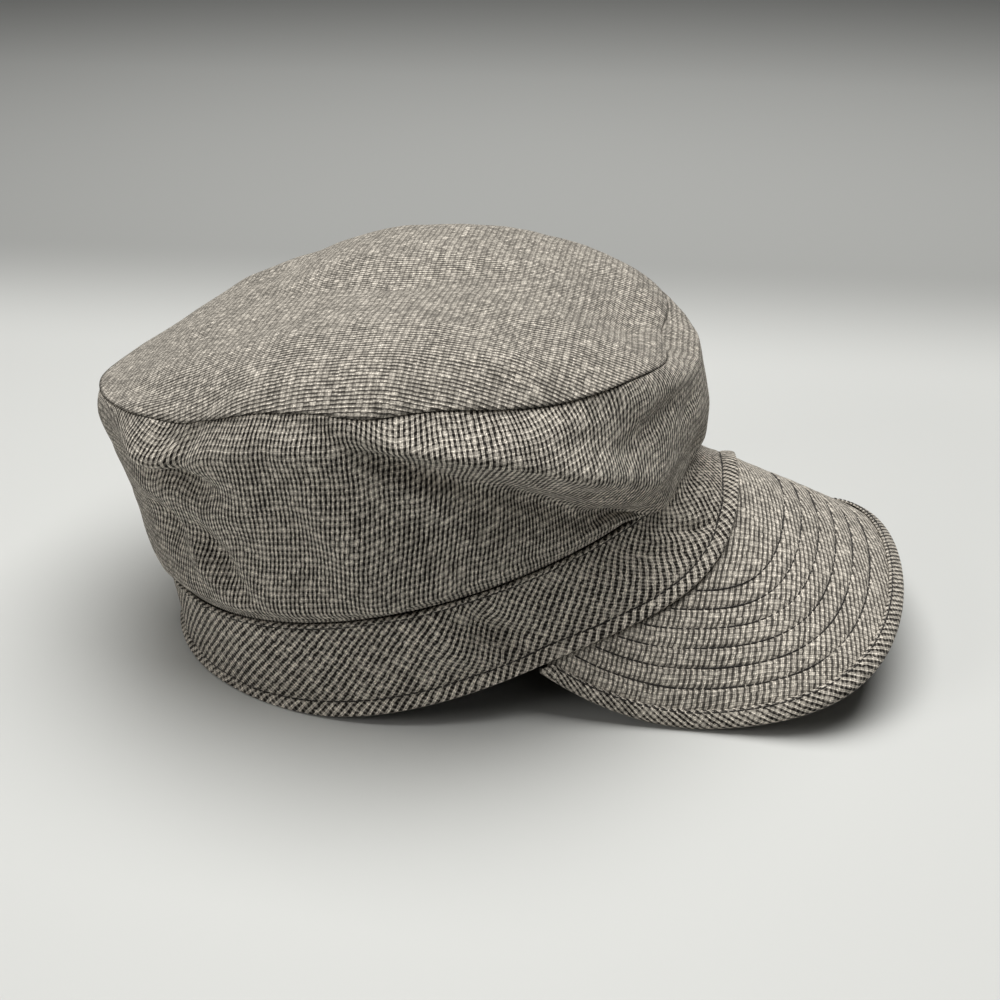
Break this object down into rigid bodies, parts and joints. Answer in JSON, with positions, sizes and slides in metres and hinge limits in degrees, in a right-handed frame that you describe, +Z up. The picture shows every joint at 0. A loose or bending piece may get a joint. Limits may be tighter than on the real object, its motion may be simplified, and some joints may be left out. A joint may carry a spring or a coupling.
{
  "type": "patrol cap",
  "caption": "Soft fabric patrol cap with a domed oval top panel, a side wall, a head band and a short curved peak with a bound edge.",
  "frame": {"origin": "middle of the cap's bounding box, on the table it lies on", "axes": "+X to the front, where the peak is, +Y to the wearer's left, +Z up"},
  "size_m": [0.2798, 0.1917, 0.123],
  "materials": {
    "top_cloth": "matte woven wool blend",
    "side_cloth": "matte woven wool blend",
    "band_cloth": "matte woven wool blend, cut on the bias",
    "peak_cloth": "matte woven wool blend, stitched in rows",
    "binding_cloth": "matte woven wool blend tape"
  },
  "bodies": {
    "root": {"crown_top": "top_cloth", "crown_side": "side_cloth", "band": "band_cloth", "peak": "peak_cloth", "peak_binding": "binding_cloth"}
  },
  "joints": []
}
